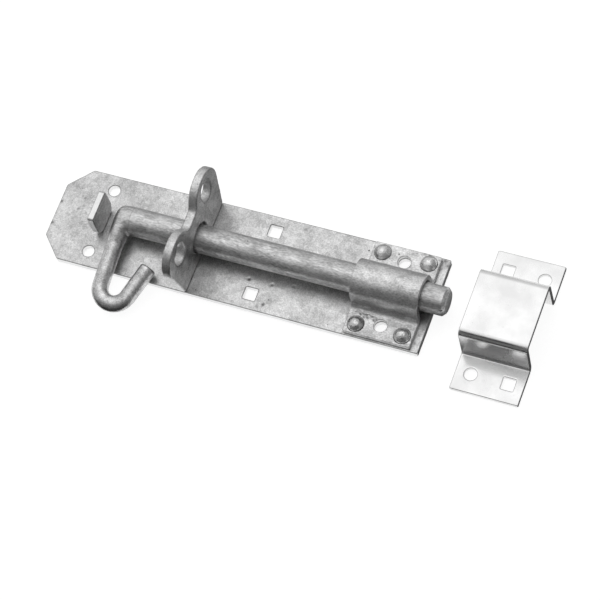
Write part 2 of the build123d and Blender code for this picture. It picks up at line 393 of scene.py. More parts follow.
# %% [markdown]
# The strap and the keeper are strips that were cut and punched flat and then bent. They are made the
# same way here: a flat blank is worked out first, with its holes, and then carried along the line of
# its underside. That line is straight runs and bends, so its heading grows evenly along each run.

# %% Bending a blank
line_samples = 4000


def bent_line(start, runs):
    """Length, place and heading along a line of (length, turn) runs, by summing small steps."""
    lengths, turns = np.array(runs).T
    at = np.linspace(0, lengths.sum(), line_samples)
    heading = np.interp(at, np.r_[0, np.cumsum(lengths)], np.r_[0, np.cumsum(turns)])
    middle = (heading[1:] + heading[:-1]) / 2
    steps = np.diff(at)
    along = start[0] + np.r_[0, np.cumsum(steps * np.cos(middle))]
    up = start[1] + np.r_[0, np.cumsum(steps * np.sin(middle))]
    return at, along, up, heading


def carried(points, line, middle_x):
    """Flat points (u, v, w) carried along a line: u along it, w square to it, v across it along -X."""
    at, along, up, heading = line
    turn = np.interp(points[:, 0], at, heading)
    y = np.interp(points[:, 0], at, along) - points[:, 2] * np.sin(turn)
    z = np.interp(points[:, 0], at, up) + points[:, 2] * np.cos(turn)
    return np.column_stack([middle_x - points[:, 1], y, z])


# %% [markdown]
# The strap is bowed over the bolt and guides its nose end: two feet on the backplate, two short walls
# and half a tube with a little play. In the near crease the zinc has set in granules with dirt between
# them, and the far front corner has a few dark marks. Both are spots with a place of their own.

# %% Guide strap
strap_sheet = 3.0 * mm
strap_play = 0.75 * mm
strap_bend = 3.6 * mm + strap_sheet
strap_bore = bar_r + strap_play
strap_foot = strap_high[1] - strap_bore - strap_bend
strap_wall = axis_z - plate_top - strap_bend
quarter = math.pi / 2
strap_side = [(strap_foot, 0), (strap_bend * quarter, quarter), (strap_wall, 0)]
strap_runs = [*strap_side, (strap_bore * math.pi, -math.pi), *strap_side[::-1]]
strap_line = bent_line((strap_low[1], plate_top), strap_runs)
strap_half = (strap_high[0] - strap_low[0]) / 2
strap_x = (strap_high[0] + strap_low[0]) / 2
strap_length = strap_line[0][-1]
strap_hole_u = strap_high[1] - hole_row


def strap_depth(points):
    """Rectangle with slightly round corners, less a hole near each end."""
    depth = rectangle(points, (strap_length / 2, 0), strap_length / 2, strap_half, 1.0 * mm)
    nearest = np.column_stack([np.minimum(points[:, 0], strap_length - points[:, 0]), points[:, 1]])
    return np.minimum(depth, -disc(nearest, (strap_hole_u, 0), strap_hole_r))


extent = ((0, -strap_half), (strap_length, strap_half))
points, quads, edge = slab(strap_depth, *extent, 0.5 * mm, strap_sheet, 0.5 * mm)
points = carried(points, strap_line, strap_x)
points = uneven(points, quads, 0.22 * mm, 6 * mm, seed=23)
granule_rise = (0, -0.4, 0.9)
granules = [(75.6, -14.9, 0.9, 0.5), (79.5, -16.3, 0.8, 0.5), (83, -16.5, 0.9, 0.45)]
granules += [(85.5, -17.2, 0.7, 0.4), (77.5, -15.8, 0.5, 0.35), (81, -15.5, 0.5, 0.3)]
granules += [(73.5, -15.6, 0.6, 0.4), (88.5, -17.5, 0.6, 0.35)]
between = [(76.3, -16, 0.5, 0.9), (78.4, -17.2, 0.5, 0.8), (80.6, -17, 0.5, 0.9)]
between += [(84.3, -17.6, 0.6, 0.9), (87, -17.9, 0.5, 0.8)]
corner_marks = [(101, 26.5, 1.1, 0.8), (103.5, 24.5, 0.9, 0.7), (98, 27.3, 1.0, 0.6)]
corner_marks += [(105, 21, 0.7, 0.6), (92.5, 17.5, 0.7, 0.5)]
points = points + mm * bells(points, granules)[:, None] * granule_rise * (edge < 0.5)[:, None]
# On the strap the stain attribute holds only the dirt between granules and the corner marks.
stain = bells(points, between + corner_marks)
place = ("base", "galvanised_plate", "guide_strap", strap_low, strap_high)
make_piece("zinc_guide_strap", points, quads, *place, edge=edge, stain=stain)


# %% [markdown]
# The keeper is pressed from thinner sheet. Its walls lean out a little towards the feet. Each foot has
# a round and a square hole, on opposite sides of the two feet.

# %% Keeper
keeper_sheet = 2.5 * mm
keeper_roof = keeper_high[2] - keeper_sheet
keeper_tunnel = 17.5 * mm
keeper_splay = 0.8 * mm
foot_bend = 1.0 * mm + keeper_sheet
roof_bend = 1.4 * mm
keeper_lean = math.atan2(keeper_roof, keeper_splay)
foot_cut = foot_bend * math.tan(keeper_lean / 2)
roof_cut = roof_bend * math.tan(keeper_lean / 2)
foot_run = keeper_high[1] - keeper_tunnel - keeper_splay - foot_cut
wall_run = math.hypot(keeper_roof, keeper_splay) - foot_cut - roof_cut
roof_run = 2 * (keeper_tunnel - roof_cut)
keeper_side = [(foot_run, 0), (foot_bend * keeper_lean, keeper_lean), (wall_run, 0)]
keeper_side += [(roof_bend * keeper_lean, -keeper_lean)]
keeper_runs = [*keeper_side, (roof_run, 0), *keeper_side[::-1]]
keeper_line = bent_line((keeper_low[1], 0), keeper_runs)
keeper_half = (keeper_high[0] - keeper_low[0]) / 2
keeper_x = (keeper_high[0] + keeper_low[0]) / 2
keeper_length = keeper_line[0][-1]
keeper_hole_u = 10.5 * mm
keeper_hole_v = 10.4 * mm
keeper_hole_r = 3.5 * mm


def keeper_depth(points):
    """Rectangle less a round and a square hole in each foot, swapped by a half turn."""
    depth = rectangle(points, (keeper_length / 2, 0), keeper_length / 2, keeper_half, 0.5 * mm)
    for middle, side in ((keeper_hole_u, 1), (keeper_length - keeper_hole_u, -1)):
        depth = np.minimum(depth, -disc(points, (middle, side * keeper_hole_v), keeper_hole_r))
        square = rectangle(points, (middle, -side * keeper_hole_v), square_half, square_half, square_round)
        depth = np.minimum(depth, -square)
    return depth


extent = ((0, -keeper_half), (keeper_length, keeper_half))
points, quads, edge = slab(keeper_depth, *extent, 0.5 * mm, keeper_sheet, 0.35 * mm)
points = carried(points, keeper_line, keeper_x)
points = uneven(points, quads, 0.05 * mm, 14 * mm, seed=29)
place = ("base", "zinc_plated_sheet", "keeper", keeper_low, keeper_high)
keeper = make_piece("plated_keeper", points, quads, *place, edge=edge)


# %% [markdown]
# The bolt is a round bar: a profile of rings turned about its axis. Its rear end is flat, since the
# elbow of the handle goes on from there, and its nose has a chamfer with soft edges. Zinc runs along a
# bar as it is drawn out of the bath, so its unevenness is stretched lengthwise.

# %% Round bolt
def turned(profile, columns):
    """Rings about an axis through the origin along u: profile rows are (u, radius), closed at both ends."""
    turn = np.linspace(0, 2 * np.pi, columns, endpoint=False)
    u = np.repeat(profile[:, :1], columns, 1)
    v = profile[:, 1:] * np.cos(turn)
    w = profile[:, 1:] * np.sin(turn)
    return np.stack([u, v, w], -1).reshape(-1, 3), ring_quads(len(profile), columns)


def ring_quads(rows, columns):
    """Faces between neighbouring rings, wound so that they point outwards for rings that follow +u."""
    index = np.arange(rows * columns).reshape(rows, columns)
    beside = np.roll(index, -1, 1)
    return np.stack([index[:-1], beside[:-1], beside[1:], index[1:]], -1).reshape(-1, 4)


def round_corner(middle, radius, start, stop, rows):
    """Points of an arc from one angle to another, as (u, radius) rows."""
    turn = np.linspace(start, stop, rows)
    return np.column_stack([middle[0] + radius * np.cos(turn), middle[1] + radius * np.sin(turn)])


pole_r = 0.02 * mm
edge_support = 0.03 * mm
nose_chamfer = 1.8 * mm
nose_soft = 0.7 * mm
bar_columns = 96
rear_face = np.column_stack([np.full(3, bar_low[0]), (pole_r, bar_r - edge_support, bar_r)])
barrel_x = np.r_[0, np.arange(0, bar_high[0] - bar_low[0] - nose_chamfer - nose_soft, 0.8 * mm)[1:]]
barrel_x = bar_low[0] + np.maximum(barrel_x, edge_support)
barrel = np.column_stack([barrel_x, np.full(len(barrel_x), bar_r)])
chamfer_turn = math.pi / 8
soft_shift = nose_soft * math.tan(chamfer_turn)
outer_middle = (bar_high[0] - nose_chamfer - soft_shift, bar_r - nose_soft)
inner_middle = (bar_high[0] - nose_soft, bar_r - nose_chamfer - soft_shift)
outer_bend = round_corner(outer_middle, nose_soft, math.pi / 2, math.pi / 4, 4)
inner_bend = round_corner(inner_middle, nose_soft, math.pi / 4, 0, 4)
nose_face = np.column_stack([np.full(12, bar_high[0]), np.linspace(inner_bend[-1, 1], pole_r, 13)[1:]])
profile = np.concatenate([rear_face, barrel, outer_bend, inner_bend, nose_face])
points, quads = turned(profile, bar_columns)
bar_push, bar_cell, bar_stretch, finer = 0.12 * mm, 4 * mm, (0.18, 1, 1), 2.7
stretched = points * bar_stretch
coarse, fine = clouds(stretched, bar_cell, 31), clouds(stretched * finer, bar_cell, 32)
push = bar_push * (0.5 + 0.2 * coarse + 0.2 * fine)
points = points - push[:, None] * point_normals(points, quads)
points[: 3 * bar_columns, 0] = bar_low[0]
points[:, 2] += axis_z
make_piece("zinc_bolt_bar", points, quads, "bolt", "galvanised_bolt", "bolt_bar", bar_low, bar_high)


# %% [markdown]
# At its rear end the bar turns a sharp corner and narrows into the handle, a thinner rod. The rod bends
# back in a hook and ends with a rounded tip. All of it is one row of ovals: they swing about the inner
# corner of the elbow, taper down to the rod's circle and then follow the rod's line. The whole lies in
# one plane, which droops from the bolt's axis to the edge of the backplate.

# %% Elbow of the handle
rod_r = 4.75 * mm
rod_inset = 0.4 * mm
elbow_squareness = 5.0
elbow_inner_round = 1.0 * mm
elbow_width = 10.5 * mm
elbow_height = 12.0 * mm
root_length = 16.0 * mm
elbow_front = bar_low[0] - 0.01 * mm
leg_x = handle_low[0] + rod_inset + rod_r
rod_step = 0.55 * mm


def elbow_ovals():
    """Rows of middle x, middle distance out, heading, half width and half height, swung by a quarter turn.

    Seen from above, the outer corner is a superellipse: (u / elbow width)^n + (v / bar width)^n = 1.
    """
    turn = np.r_[0, 0, 0.002, np.linspace(0, np.pi / 2, 46)[1:]]
    to_rear = np.sin(turn) / elbow_width
    to_far = np.cos(turn) / (2 * bar_r)
    width = (to_rear**elbow_squareness + to_far**elbow_squareness) ** (-1 / elbow_squareness)
    middle = elbow_inner_round + width / 2
    x = elbow_front - np.sin(turn) * middle
    out = bar_r + elbow_inner_round - np.cos(turn) * middle
    height = bar_r + (elbow_height / 2 - bar_r) * turn / turn[-1]
    ovals = np.column_stack([x, out, turn - np.pi / 2, width / 2, height])
    ovals[0, 3:] = pole_r
    return ovals


def taper_ovals(first):
    """Ovals between the elbow's last one and the rod's circle, mixed by 3u^2 - 2u^3."""
    last = np.array([leg_x, root_length, 0, rod_r, rod_r])
    out = np.arange(first[1] + rod_step, root_length, rod_step)
    share = ((out - first[1]) / (root_length - first[1]))[:, None]
    ovals = first + (last - first) * share * share * (3 - 2 * share)
    ovals[:, 1] = out
    return ovals


elbow = elbow_ovals()
taper = taper_ovals(elbow[-1])
print("ovals in the elbow and the taper:", len(elbow), len(taper))


# %% [markdown]
# The rod follows a line of straight and bent runs, as the strap does: a leg, the bend of the hook and a
# tail. Its circles join the elbow's ovals in one mesh, so no seam shows where the elbow ends. The droop
# is the angle at which the rod rests on the edge of the backplate, with a hair's breadth between them.

# %% Hooked rod
leg_length = 38.7 * mm
hook_r = 8.8 * mm
hook_turn = math.radians(161.0)
tail_length = 19.7 * mm
tail_round = 1.5 * mm
rest_gap = 0.3 * mm
rod_columns = 72
axis_height = axis_z - plate_top
edge_reach = math.hypot(axis_height, plate_high[1])
droop = math.acos((rod_r + rest_gap) / edge_reach) - math.atan2(plate_high[1], axis_height)
rod_runs = [(leg_length - root_length, 0), (hook_r * hook_turn, hook_turn), (tail_length, 0)]
rod_line = bent_line((root_length, leg_x), rod_runs)
rod_length = rod_line[0][-1]


def rod_ovals():
    """Circles along the rod's line, with a quarter round at the tip that ends in a flat face."""
    body = np.arange(0, rod_length - tail_round, rod_step)
    tip = np.linspace(0, np.pi / 2, 8)
    tip_r = rod_r - tail_round * (1 - np.cos(tip))
    face = np.linspace(1, 0, 7)[1:]
    rounded = rod_length - tail_round + tail_round * np.sin(tip)
    at = np.concatenate([body, rounded, np.full(len(face), rod_length)])
    radius = np.concatenate([np.full(len(body), rod_r), tip_r, np.maximum(tip_r[-1] * face, pole_r)])
    along = [np.interp(at, rod_line[0], rod_line[i]) for i in (2, 1, 3)]
    return np.column_stack([*along, radius, radius])


middle_x, out, heading, half_width, half_height = np.concatenate([elbow, taper, rod_ovals()]).T[:, :, None]
turn = np.linspace(0, 2 * np.pi, rod_columns, endpoint=False)
across = half_width * np.cos(turn)
above = half_height * np.sin(turn)
reach = out - across * np.sin(heading)
x = middle_x + across * np.cos(heading)
y = -reach * math.cos(droop) - above * math.sin(droop)
z = axis_z - reach * math.sin(droop) + above * math.cos(droop)
points = np.stack([x, y, z], -1).reshape(-1, 3)
quads = ring_quads(len(middle_x), rod_columns)
points = uneven(points, quads, 0.14 * mm, 4 * mm, seed=41)
points[: 2 * rod_columns, 0] = elbow_front
place = ("handle", "galvanised_bolt", "hooked_handle", handle_low, handle_high)
make_piece("zinc_hooked_handle", points, quads, *place)


# %% [markdown]
# Four rivets hold the strap. Each head is a dome, slightly lopsided from the hammer and the zinc. A dome
# is a circle's arc turned about the rivet's axis, with a straight collar that goes a little way into
# the strap, so that no gap shows where the strap's face is uneven.

# %% Rivets
rivet_seat = plate_top + strap_sheet
rivet_collar = 0.3 * mm
dome_rows = 20
dome_columns = 48
for number in range(1, 5):
    node = f"guide_rivet_{number}"
    low, high = ends(node)
    middle = (low + high) / 2
    head_r = (high[0] - low[0]) / 2
    head_height = high[2] - rivet_seat
    ball_r = (head_r**2 + head_height**2) / (2 * head_height)
    edge = math.acos((ball_r - head_height) / ball_r)
    fall = np.linspace(0, edge, dome_rows)
    dome = np.column_stack([ball_r * (np.cos(fall) - 1), np.maximum(ball_r * np.sin(fall), pole_r)])
    collar = -head_height - rivet_collar
    below = np.array([(collar, head_r), (collar, pole_r)])
    points, quads = turned(np.concatenate([dome, below]), dome_columns)
    points = np.column_stack([middle[0] + points[:, 2], middle[1] + points[:, 1], high[2] + points[:, 0]])
    points = uneven(points, quads, 0.3 * mm, 2.6 * mm, seed=50 + number)
    make_piece(f"zinc_rivet_{number}", points, quads, "base", "galvanised_plate", node, low, high)


# %% [markdown]
# All the zinc shares the same small effects at different sizes, so each effect is a node group that is
# built once and placed in every material. A group puts out plain masks and shades, and the shader that
# turns them into metal stays in the material. Positions are Object coordinates in metres, which are the
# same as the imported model's, so a pattern stays put when a piece moves.

# %% Helpers for shader nodes
def put(tree, kind, inputs=None, **settings):
    """A node of a kind, its settings made and each named input linked to a socket or set to a value."""
    node = tree.nodes.new(kind)
    for name, value in settings.items():
        setattr(node, name, value)
    for name, value in (inputs or {}).items():
        if isinstance(value, bpy.types.NodeSocket):
            tree.links.new(value, node.inputs[name])
        else:
            node.inputs[name].default_value = value
    return node


def calc(tree, operation, first, second=0.0, third=0.0, clamp=False):
    """The output of a Math node."""
    values = {0: first, 1: second, 2: third}
    return put(tree, "ShaderNodeMath", values, operation=operation, use_clamp=clamp).outputs[0]


def ramp(tree, value, low, high, start=0.0, stop=1.0):
    """Value mapped evenly from low..high to start..stop and kept between them."""
    inputs = {"Value": value, "From Min": low, "From Max": high, "To Min": start, "To Max": stop}
    return put(tree, "ShaderNodeMapRange", inputs, clamp=True).outputs["Result"]


def mix_colour(tree, share, first, second):
    """Two colours mixed by a share from 0 to 1."""
    node = put(tree, "ShaderNodeMix", {0: share}, data_type="RGBA")
    for index, value in ((6, first), (7, second)):
        if isinstance(value, bpy.types.NodeSocket):
            tree.links.new(value, node.inputs[index])
        else:
            node.inputs[index].default_value = (*value, 1)
    return node.outputs[2]


def new_group(name, inputs, outputs):
    """An empty node group with float or vector inputs and float outputs, and its two end nodes."""
    tree = bpy.data.node_groups.new(name, "ShaderNodeTree")
    for label, value in inputs.items():
        kind = "NodeSocketVector" if value is None else "NodeSocketFloat"
        made = tree.interface.new_socket(label, in_out="INPUT", socket_type=kind)
        if value is not None:
            made.default_value = value
    for label in outputs:
        tree.interface.new_socket(label, in_out="OUTPUT", socket_type="NodeSocketFloat")
    return tree, tree.nodes.new("NodeGroupInput").outputs, tree.nodes.new("NodeGroupOutput").inputs


# %% [markdown]
# Hot-dip zinc is never one grey. It has broad clouds where it drained thick or thin, crystals a few
# millimetres across, and a fine grain. On drawn bar the clouds are stretched lengthwise. The group adds
# the three as noises of different size; Stretch squeezes the position along X, which draws them out.

# %% Cloudy zinc group
zinc, given, result = new_group(
    "cloudy_zinc",
    {"Position": None, "Cloud size": 9 * mm, "Crystal size": 3 * mm, "Grain size": 0.9 * mm, "Stretch": 1.0},
    ["Shade", "Grain"],
)
squeeze = put(zinc, "ShaderNodeCombineXYZ", {"X": given["Stretch"], "Y": 1.0, "Z": 1.0}).outputs[0]
place = put(zinc, "ShaderNodeVectorMath", {0: given["Position"], 1: squeeze}, operation="MULTIPLY").outputs[0]
per_metre = {}
for label in ("Cloud", "Crystal", "Grain"):
    per_metre[label] = calc(zinc, "DIVIDE", 1.0, given[f"{label} size"])
cloud_inputs = {"Vector": place, "Scale": per_metre["Cloud"], "Detail": 3.0, "Roughness": 0.6}
cloud = put(zinc, "ShaderNodeTexNoise", cloud_inputs)
crystal = put(zinc, "ShaderNodeTexVoronoi", {"Vector": place, "Scale": per_metre["Crystal"]}, feature="F1")
crystal_shade = put(zinc, "ShaderNodeSeparateColor", {"Color": crystal.outputs["Color"]}).outputs["Red"]
grain = put(zinc, "ShaderNodeTexNoise", {"Vector": place, "Scale": per_metre["Grain"], "Detail": 2.0})
cloud_part = ramp(zinc, cloud.outputs["Fac"], 0.3, 0.7, -0.5, 0.5)
grain_part = ramp(zinc, grain.outputs["Fac"], 0.3, 0.7, -0.5, 0.5)
crystal_part = calc(zinc, "SUBTRACT", crystal_shade, 0.5)
cloud_weight, crystal_weight, grain_weight = 0.42, 0.24, 0.52
shade = calc(zinc, "MULTIPLY_ADD", cloud_part, cloud_weight, 0.5)
shade = calc(zinc, "MULTIPLY_ADD", crystal_part, crystal_weight, shade)
shade = calc(zinc, "MULTIPLY_ADD", grain_part, grain_weight, shade, clamp=True)
zinc.links.new(shade, result["Shade"])
zinc.links.new(ramp(zinc, grain.outputs["Fac"], 0.3, 0.7), result["Grain"])
print("group", zinc.name, len(zinc.nodes), "nodes")


# %% [markdown]
# Small dark pits are spots where ash or a bubble kept the zinc off. A cell pattern gives one middle per
# cell; the cell's own random number decides whether that cell has a pit and how wide it is.

# %% Pits group
pit_inputs = {"Position": None, "Spacing": 6 * mm, "Share": 0.3, "Width": 0.12}
pits, given, result = new_group("zinc_pits", pit_inputs, ["Mask"])
per_metre = calc(pits, "DIVIDE", 1.0, given["Spacing"])
cell = put(pits, "ShaderNodeTexVoronoi", {"Vector": given["Position"], "Scale": per_metre}, feature="F1")
luck = put(pits, "ShaderNodeSeparateColor", {"Color": cell.outputs["Color"]}).outputs
chosen = calc(pits, "LESS_THAN", luck["Red"], given["Share"])
width = calc(pits, "MULTIPLY", given["Width"], ramp(pits, luck["Green"], 0, 1, 0.4, 1.0))
depth = calc(pits, "DIVIDE", cell.outputs["Distance"], width)
mask = calc(pits, "MULTIPLY", chosen, ramp(pits, depth, 1.0, 0.5, 0.0, 1.0))
pits.links.new(mask, result["Mask"])
print("group", pits.name, len(pits.nodes), "nodes")


# %% [markdown]
# The material reads the groups and hands their masks to the metal shader: darker clouds are rougher, and
# pits are dark, rough and dented. Cut edges drained clean and are brighter, and a dark line of painted
# shade runs along each rounded rim between face and cut edge. Painted shade also darkens a narrow band
# just above where a piece meets the part below. The handle changes from the bar's drawn skin to the even
# one of the rod, so it mixes two skins by their place.

# %% Galvanised material
def group_node(tree, group, inputs):
    """A node group placed in a tree, with its inputs linked or set."""
    node = tree.nodes.new("ShaderNodeGroup")
    node.node_tree = group
    for label, value in inputs.items():
        if isinstance(value, bpy.types.NodeSocket):
            tree.links.new(value, node.inputs[label])
        else:
            node.inputs[label].default_value = value
    return node.outputs


def new_material(name):
    """A material, its node tree and the shader that it starts with."""
    material = bpy.data.materials.new(name)
    material.use_nodes = True
    return material, material.node_tree, material.node_tree.nodes["Principled BSDF"]


def point_value(tree, label):
    """A value that the mesh keeps per point."""
    return put(tree, "ShaderNodeAttribute", attribute_name=label).outputs["Fac"]


even_start, even_stop = -7 * mm, -14 * mm
# The first grey is that of the painted shade at the foot of pieces, the third that of the painted dark line
# along the rims.
painted_shade_grey, pit_grey, painted_rim_line_grey, cut_grey = 0.04, 0.05, 0.1, 0.9
pit_depth_in_grains = 3.0


def galvanised(
    name, greys, roughness, sizes, pit_share, bump, rim=0.0, wall=0.0, painted_base_shade=None, stained=False, rod=None
):
    """Metal whose colour and roughness follow the zinc's shade, with pits, edges, painted shade and a fine
    bump.
    """
    material, tree, shader = new_material(name)
    position = put(tree, "ShaderNodeTexCoord").outputs["Object"]
    axes = put(tree, "ShaderNodeSeparateXYZ", {0: position}).outputs
    skin = group_node(tree, zinc, {"Position": position, **sizes})
    shade, grain = skin["Shade"], skin["Grain"]
    if rod:
        even = group_node(tree, zinc, {"Position": position, **rod})
        share = ramp(tree, axes["Y"], even_start, even_stop)
        drawn = calc(tree, "MULTIPLY", calc(tree, "SUBTRACT", 1, share), shade)
        shade = calc(tree, "ADD", calc(tree, "MULTIPLY", share, even["Shade"]), drawn)
    spots = group_node(tree, pits, {"Position": position, "Share": pit_share})["Mask"]
    # The stain attribute holds real pits, smears and marks, and on the backplate also painted shade beside
    # the strap.
    if stained:
        spots = calc(tree, "MAXIMUM", spots, point_value(tree, "stain"), clamp=True)
    colour = mix_colour(tree, shade, *[(grey, grey, grey) for grey in greys])
    rough = ramp(tree, shade, 0, 1, *roughness)
    if rim or wall:
        edge = point_value(tree, "edge")
        # Painted shade: a dark line along the middle of each rounded rim, where the face turns into the cut
        # edge.
        line = calc(tree, "MULTIPLY", calc(tree, "PINGPONG", edge, 0.5), 2 * rim)
        colour = mix_colour(tree, line, colour, (painted_rim_line_grey,) * 3)
        clean = ramp(tree, edge, 0.8, 1.0, 0.0, wall)
        colour = mix_colour(tree, clean, colour, (cut_grey,) * 3)
    # Painted shade: darker in a band just above the given height, where the piece meets the part below.
    if painted_base_shade:
        low_level, high_level, amount = painted_base_shade
        painted_shade_share = ramp(tree, axes["Z"], low_level, high_level, amount, 0.0)
        colour = mix_colour(tree, painted_shade_share, colour, (painted_shade_grey,) * 3)
    colour = mix_colour(tree, calc(tree, "MULTIPLY", spots, 0.85), colour, (pit_grey,) * 3)
    tree.links.new(colour, shader.inputs["Base Color"])
    tree.links.new(calc(tree, "MULTIPLY_ADD", spots, 0.3, rough, clamp=True), shader.inputs["Roughness"])
    shader.inputs["Metallic"].default_value = 1.0
    height = calc(tree, "MULTIPLY_ADD", spots, -pit_depth_in_grains, grain)
    bumped = put(tree, "ShaderNodeBump", {"Strength": 1.0, "Distance": bump, "Height": height})
    tree.links.new(bumped.outputs["Normal"], shader.inputs["Normal"])
    return material


def skin_sizes(cloud, crystal, grain, stretch):
    """Inputs of the cloudy zinc group, sizes in millimetres."""
    sizes = {"Cloud size": cloud * mm, "Crystal size": crystal * mm, "Grain size": grain * mm}
    return {**sizes, "Stretch": stretch}


plate_skin = skin_sizes(12, 2.4, 0.6, 1.0)
bar_skin = skin_sizes(5, 1.6, 0.7, 0.35)
rod_skin = skin_sizes(6, 2.0, 0.8, 1.0)
strap_skin = skin_sizes(8, 2.2, 0.7, 0.6)
seam = 0.9 * mm
# Painted shade: a dark band 0.9 mm high where the upright plate, lug and strap meet the backplate, and one
# 0.7 mm high round the foot of each rivet.
painted_seam_shade = (plate_top, plate_top + seam, 1.0)
painted_rivet_shade = (rivet_seat, rivet_seat + 0.7 * mm, 0.9)
plate_look = {"rim": 0.6, "wall": 0.8, "stained": True}
ear_look = {"rim": 0.3, "wall": 0.2, "painted_base_shade": painted_seam_shade}
lug_look = {"rim": 0.4, "wall": 0.8, "painted_base_shade": painted_seam_shade}
strap_look = {"painted_base_shade": painted_seam_shade, "stained": True}
plate_zinc = galvanised("plate_zinc", (0.34, 0.82), (0.42, 0.28), plate_skin, 0.35, 0.03 * mm, **plate_look)
ear_zinc = galvanised("ear_zinc", (0.3, 0.8), (0.48, 0.32), rod_skin, 0.3, 0.06 * mm, **ear_look)
lug_zinc = galvanised("lug_zinc", (0.3, 0.7), (0.45, 0.32), rod_skin, 0.2, 0.05 * mm, **lug_look)
bar_zinc = galvanised("bar_zinc", (0.3, 0.86), (0.48, 0.34), bar_skin, 0.15, 0.04 * mm)
handle_zinc = galvanised("handle_zinc", (0.3, 0.86), (0.42, 0.28), bar_skin, 0.15, 0.04 * mm, rod=rod_skin)
strap_zinc = galvanised("strap_zinc", (0.32, 0.84), (0.46, 0.32), strap_skin, 0.15, 0.04 * mm, **strap_look)
rivet_zinc = galvanised("rivet_zinc", (0.45, 0.95), (0.32, 0.2), rod_skin, 0.3, 0.04 * mm, painted_base_shade=painted_rivet_shade)
finishes = {
    "zinc_backplate": plate_zinc,
    "zinc_ear_plate": ear_zinc,
    "zinc_stop_lug": lug_zinc,
    "zinc_bolt_bar": bar_zinc,
    "zinc_hooked_handle": handle_zinc,
    "zinc_guide_strap": strap_zinc,
}
for piece in bpy.context.scene.objects:
    if piece.name.startswith("zinc_"):
        piece.data.materials.append(finishes.get(piece.name, rivet_zinc))
        print(piece.name, "has", piece.data.materials[0].name)


# %% [markdown]
# The keeper is bright zinc plate on rolled sheet: almost a mirror, with faint clouds, a few small flecks
# and hardly any grain. A thin dark line of painted shade runs where its faces turn into the cut edges.

# %% Plated sheet material
def plated(name):
    """Smooth bright metal whose roughness and grey wander a little."""
    material, tree, shader = new_material(name)
    position = put(tree, "ShaderNodeTexCoord").outputs["Object"]
    haze = put(tree, "ShaderNodeTexNoise", {"Vector": position, "Scale": 1 / (16 * mm), "Detail": 4.0})
    speck = put(tree, "ShaderNodeTexNoise", {"Vector": position, "Scale": 1 / (1.6 * mm), "Detail": 2.0})
    colour = mix_colour(tree, ramp(tree, haze.outputs["Fac"], 0.35, 0.65), (0.7, 0.7, 0.7), (0.8, 0.8, 0.8))
    # Painted shade: a thin dark line along the middle of each rounded rim.
    line = calc(tree, "PINGPONG", point_value(tree, "edge"), 0.5)
    colour = mix_colour(tree, line, colour, (0.08, 0.08, 0.08))
    flecked = calc(tree, "GREATER_THAN", speck.outputs["Fac"], 0.72)
    colour = mix_colour(tree, calc(tree, "MULTIPLY", flecked, 0.3), colour, (0.5, 0.5, 0.5))
    tree.links.new(colour, shader.inputs["Base Color"])
    tree.links.new(ramp(tree, haze.outputs["Fac"], 0.35, 0.65, 0.3, 0.22), shader.inputs["Roughness"])
    shader.inputs["Metallic"].default_value = 1.0
    bump_inputs = {"Strength": 1.0, "Distance": 0.004 * mm, "Height": speck.outputs["Fac"]}
    bumped = put(tree, "ShaderNodeBump", bump_inputs)
    tree.links.new(bumped.outputs["Normal"], shader.inputs["Normal"])
    return material


keeper.data.materials.append(plated("plated_zinc"))
for material in bpy.data.materials:
    print("material", material.name, len(material.node_tree.nodes), "nodes")


# %% [markdown]
# Bare metal shows its surroundings more than its own colour. In the photograph the tops are bright, the
# far and left sides are pale, and the near and right sides are dark, with a smooth change between them.
# A dome of white cloth gives that: it glows most overhead, a little less towards the far side and the
# left, and hardly at all on the near side and the right. Its level is the product of one profile along Y
# and one along X. The camera looks through the dome to the white world behind it.

# %% World and light dome
scene = bpy.context.scene
scene.view_settings.view_transform = "Standard"
world = bpy.data.worlds.new("white_room")
scene.world = world
world.use_nodes = True
background = world.node_tree.nodes["Background"]
background.inputs["Color"].default_value = (1, 1, 1, 1)
background.inputs["Strength"].default_value = 1.0

dome_r = 3.0
dome_columns = 96
near_side = ((-0.95, 0.14), (-0.62, 0.32), (-0.45, 0.62), (-0.25, 1.05))
near_to_far = (*near_side, (0.1, 1.12), (0.42, 1.12), (0.77, 0.85), (0.95, 0.74))
left_to_right = ((-0.95, 0.6), (-0.7, 0.8), (-0.35, 1.0), (0.1, 1.0), (0.4, 0.6), (0.7, 0.32), (0.95, 0.28))
dome_rise = np.linspace(-0.01, np.pi / 2 - 0.001, 40)
dome_profile = np.column_stack([dome_r * np.sin(dome_rise), dome_r * np.cos(dome_rise)])
dome_points, dome_quads = turned(dome_profile, dome_columns)
dome_mesh = bpy.data.meshes.new("light_dome")
dome_mesh.from_pydata(dome_points[:, [2, 1, 0]].tolist(), [], dome_quads.tolist())
dome = bpy.data.objects.new("light_dome", dome_mesh)
scene.collection.objects.link(dome)
dome.visible_camera = False
cloth, cloth_tree, cloth_shader = new_material("dome_cloth")
cloth_tree.nodes.remove(cloth_shader)
cloth_place = put(cloth_tree, "ShaderNodeTexCoord").outputs["Object"]
cloth_unit = put(cloth_tree, "ShaderNodeVectorMath", {0: cloth_place}, operation="NORMALIZE")
cloth_place = cloth_unit.outputs["Vector"]
cloth_axes = put(cloth_tree, "ShaderNodeSeparateXYZ", {0: cloth_place}).outputs


def profile_level(tree, value, knots):
    """Straight runs between (value, level) knots, as a sum of clamped ramps."""
    total = knots[0][1]
    for (start, first), (stop, second) in zip(knots[:-1], knots[1:]):
        total = calc(tree, "ADD", total, ramp(tree, value, start, stop, 0.0, second - first))
    return total


